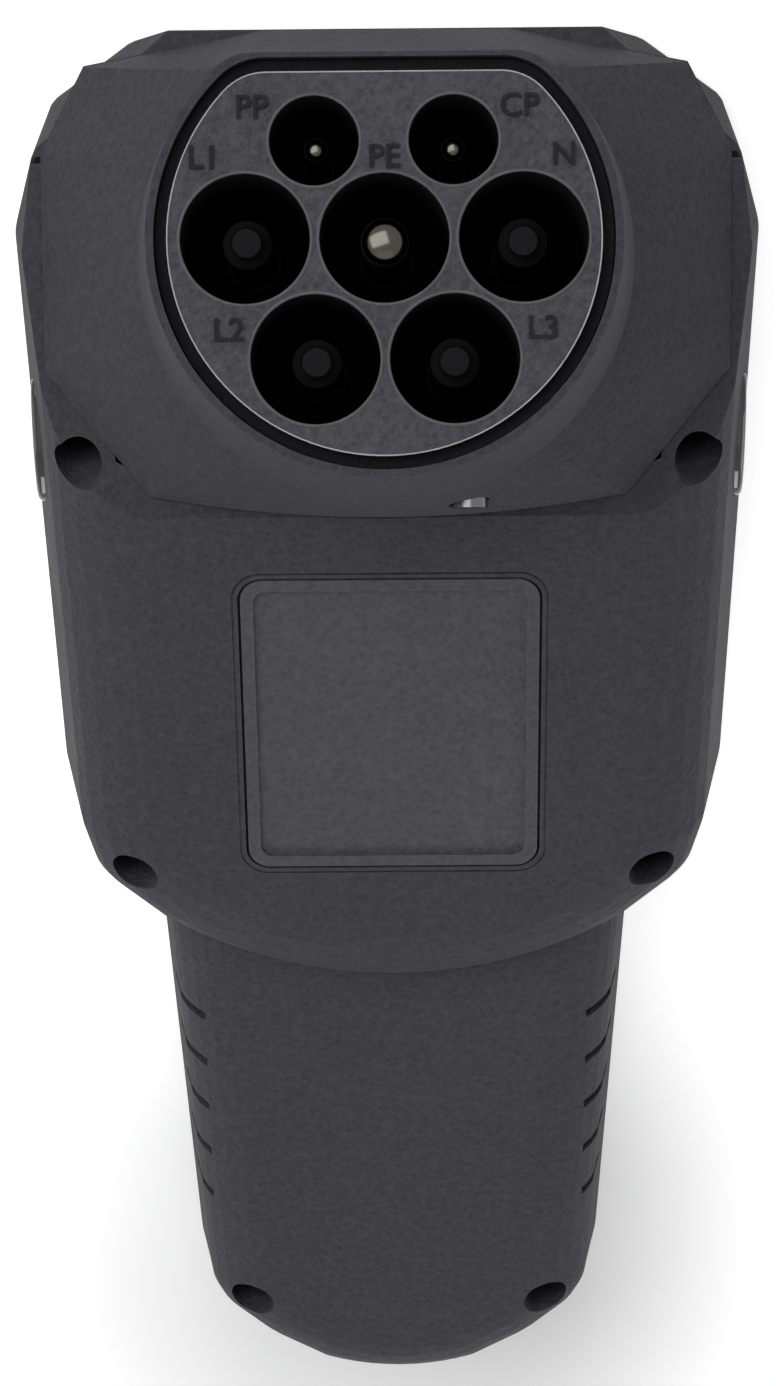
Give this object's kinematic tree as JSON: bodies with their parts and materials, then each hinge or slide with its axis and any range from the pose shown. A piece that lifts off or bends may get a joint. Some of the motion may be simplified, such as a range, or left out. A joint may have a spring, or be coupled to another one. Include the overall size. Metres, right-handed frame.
{
  "type": "ev charging station tester with plug",
  "caption": "Handheld charging station tester: a plug face with pins in round wells on a slanted head, a battery cover, keys and a straight handle.",
  "frame": {"origin": "middle of the overall box at its underside, the display side resting on the table", "axes": "+Y towards the plug's head, -Y towards the end of the handle, +Z out of the rear side, X across"},
  "size_m": [0.0984, 0.2326, 0.0753],
  "materials": {
    "shell": "fine moulded texture",
    "insert": "spark texture",
    "contact": "silver plated",
    "seal": "matt",
    "steel": "machined",
    "lens": "glossy",
    "board": "solder mask",
    "housing_black": "moulded",
    "window": "clear",
    "display": "glass cell",
    "mat": "silicone",
    "cell": "printed sleeve",
    "key": "soft touch"
  },
  "bodies": {
    "housing": {"front_shell": "shell", "rear_shell": "shell", "shell_seal": "seal", "neck_seal": "seal", "connector_housing": "shell", "contact_insert": "insert", "contact_carrier": "insert", "insert_bolt": "steel", "contact_pe": "contact", "contact_l1": "contact", "contact_n": "contact", "contact_l2": "contact", "contact_l3": "contact", "contact_pp": "contact", "contact_cp": "contact", "guard_l1": "insert", "guard_n": "insert", "guard_l2": "insert", "guard_l3": "insert", "battery_tray": "insert", "cell_a": "cell", "cell_b": "cell", "cell_c": "cell", "housing_screw_1": "steel", "housing_screw_2": "steel", "housing_screw_3": "steel", "housing_screw_4": "steel", "housing_screw_5": "steel", "housing_screw_6": "steel", "side_lens_left": "lens", "side_lens_right": "lens", "main_board": "board", "terminal_block": "housing_black", "relay_a": "housing_black", "relay_b": "housing_black", "relay_c": "housing_black", "transformer": "housing_black", "buzzer": "housing_black", "display_window": "window", "display_module": "display", "keypad_mat": "mat", "key_board": "board"},
    "cover": {"battery_cover": "shell"},
    "key_one": {"key_1": "key"},
    "key_two": {"key_2": "key"},
    "key_three": {"key_3": "key"},
    "key_four": {"key_4": "key"}
  },
  "joints": [
    {"name": "cover_lift", "type": "slide", "parent": "housing", "child": "cover", "axis": [0, 0, 1], "range_m": [0, 0.03]},
    {"name": "key_1_press", "type": "slide", "parent": "housing", "child": "key_one", "axis": [0, 0, 1], "range_m": [0, 0.001], "stiffness_N_per_m": 600},
    {"name": "key_2_press", "type": "slide", "parent": "housing", "child": "key_two", "axis": [0, 0, 1], "range_m": [0, 0.001], "stiffness_N_per_m": 600},
    {"name": "key_3_press", "type": "slide", "parent": "housing", "child": "key_three", "axis": [0, 0, 1], "range_m": [0, 0.001], "stiffness_N_per_m": 600},
    {"name": "key_4_press", "type": "slide", "parent": "housing", "child": "key_four", "axis": [0, 0, 1], "range_m": [0, 0.001], "stiffness_N_per_m": 600}
  ]
}
